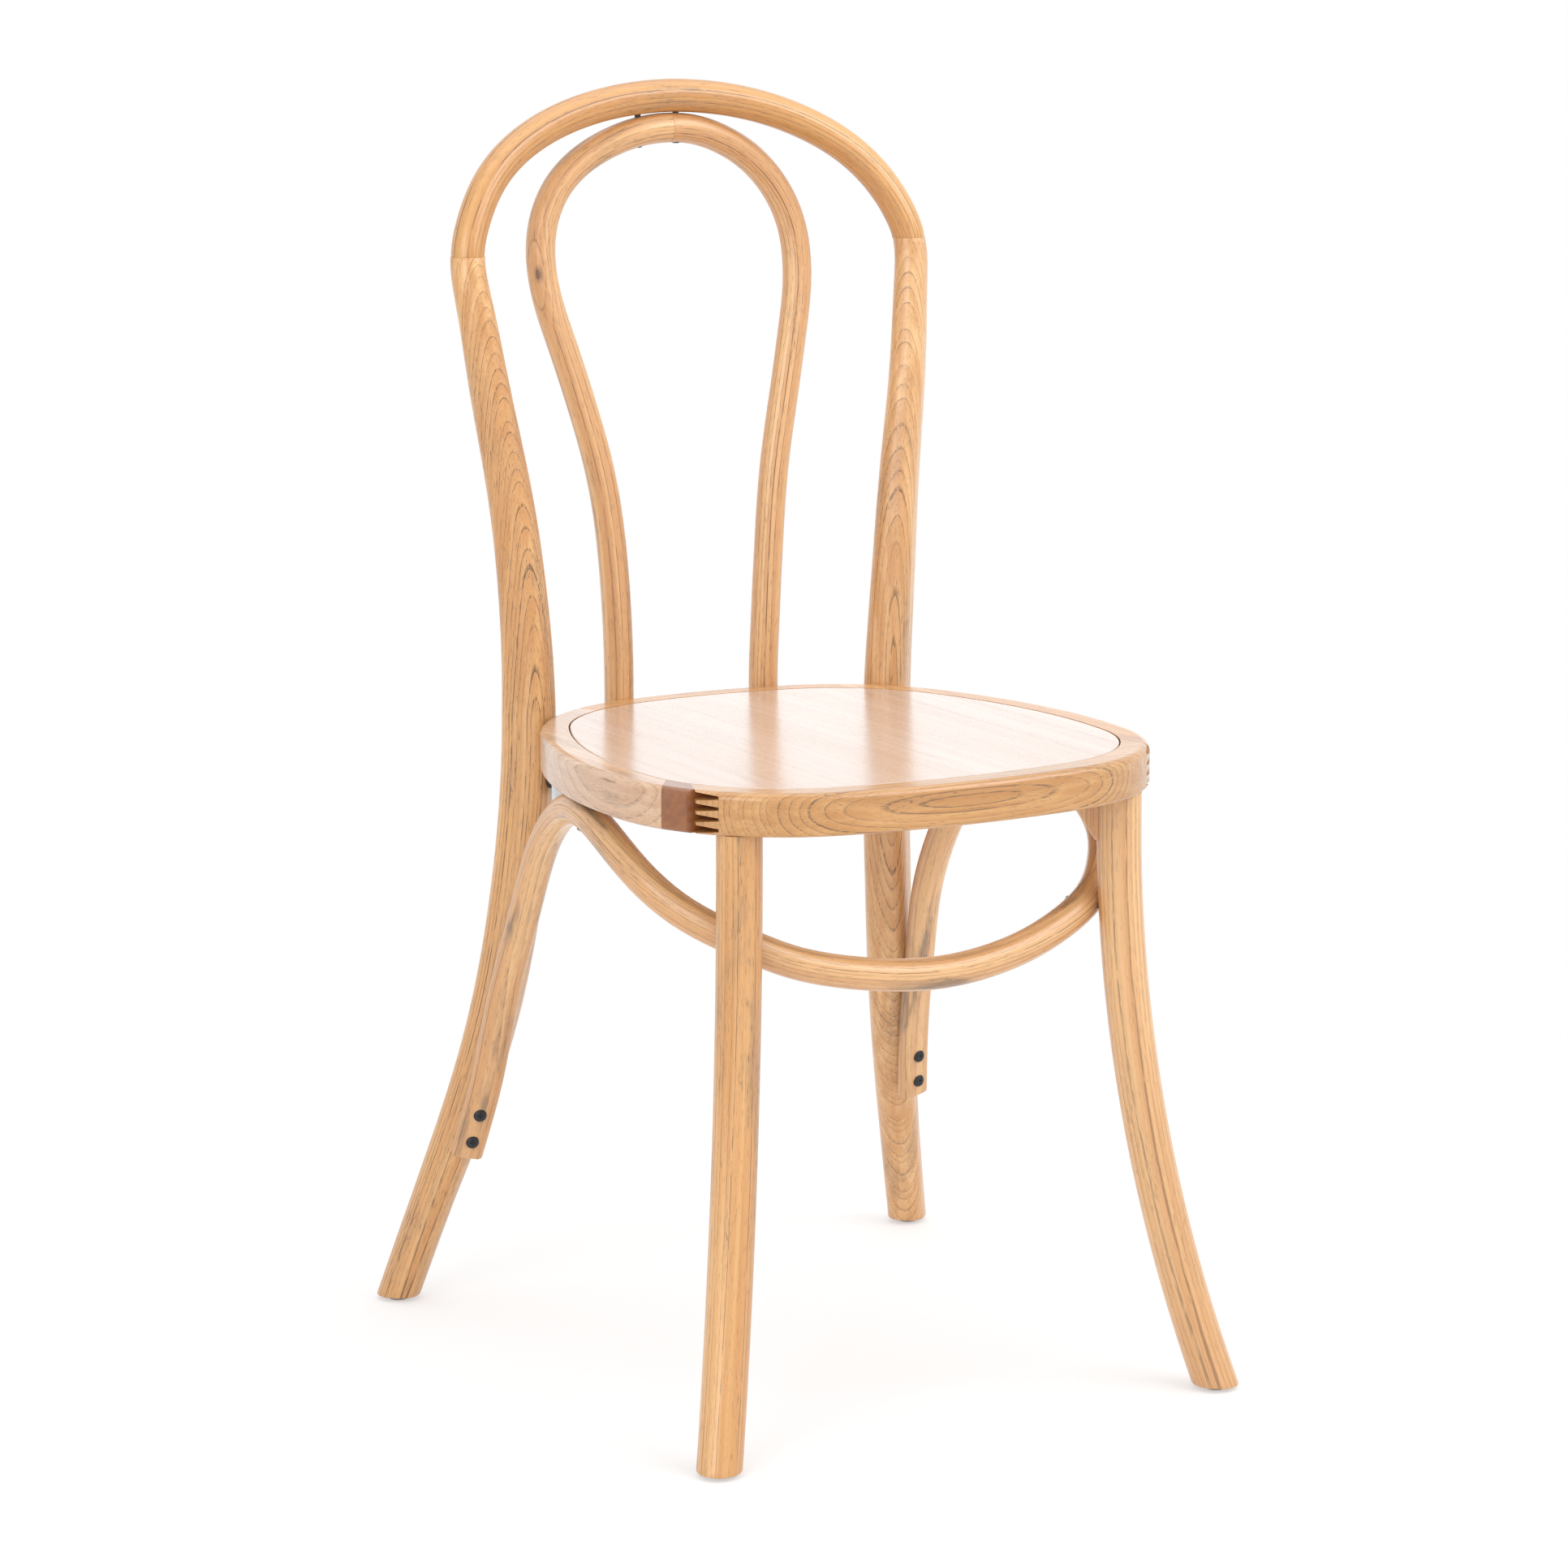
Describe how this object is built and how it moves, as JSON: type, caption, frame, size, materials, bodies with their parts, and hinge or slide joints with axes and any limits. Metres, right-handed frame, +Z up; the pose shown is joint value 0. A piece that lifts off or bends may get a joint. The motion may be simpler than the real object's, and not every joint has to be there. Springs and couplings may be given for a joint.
{
  "type": "bentwood bistro chair",
  "caption": "Dining chair with round bent wood legs and back, an arched top rail over an inner hoop, a glued seat frame with an inset panel and a curved leg brace.",
  "frame": {"origin": "on the floor, in the middle of the footprint of the whole chair", "axes": "+Z up, +X to the right seen from in front of the chair, +Y to the back of the chair, so the seat faces -Y"},
  "size_m": [0.4652, 0.499, 0.889],
  "materials": {
    "bent_wood": "satin lacquer",
    "leg_wood": "satin lacquer",
    "rail_wood": "satin lacquer",
    "block_wood": "satin lacquer",
    "panel_wood": "satin lacquer",
    "dowel_wood": "raw",
    "black_screws": "black oxide",
    "zinc_steel": "zinc plated",
    "black_plastic": "matte",
    "grey_plastic": "matte"
  },
  "bodies": {
    "root": {"arch_dowels": "dowel_wood", "back_arch": "bent_wood", "brace_end_screws": "black_screws", "brace_front_screws": "black_screws", "brace_seat_screws": "black_screws", "bracket_bolts": "zinc_steel", "bracket_screws": "black_screws", "bracket_spacers": "black_plastic", "foot_glides": "grey_plastic", "front_leg_left": "leg_wood", "front_leg_right": "leg_wood", "hoop_foot_screws": "black_screws", "hoop_screws": "black_screws", "inner_hoop_left": "bent_wood", "inner_hoop_right": "bent_wood", "leg_brace": "bent_wood", "rear_leg_left": "leg_wood", "rear_leg_right": "leg_wood", "seat_bracket_left": "zinc_steel", "seat_bracket_right": "zinc_steel", "seat_corner_block_left": "block_wood", "seat_corner_block_right": "block_wood", "seat_front_rail": "rail_wood", "seat_panel": "panel_wood", "seat_rear_rail": "rail_wood", "seat_side_rail_left": "rail_wood", "seat_side_rail_right": "rail_wood"}
  },
  "joints": []
}
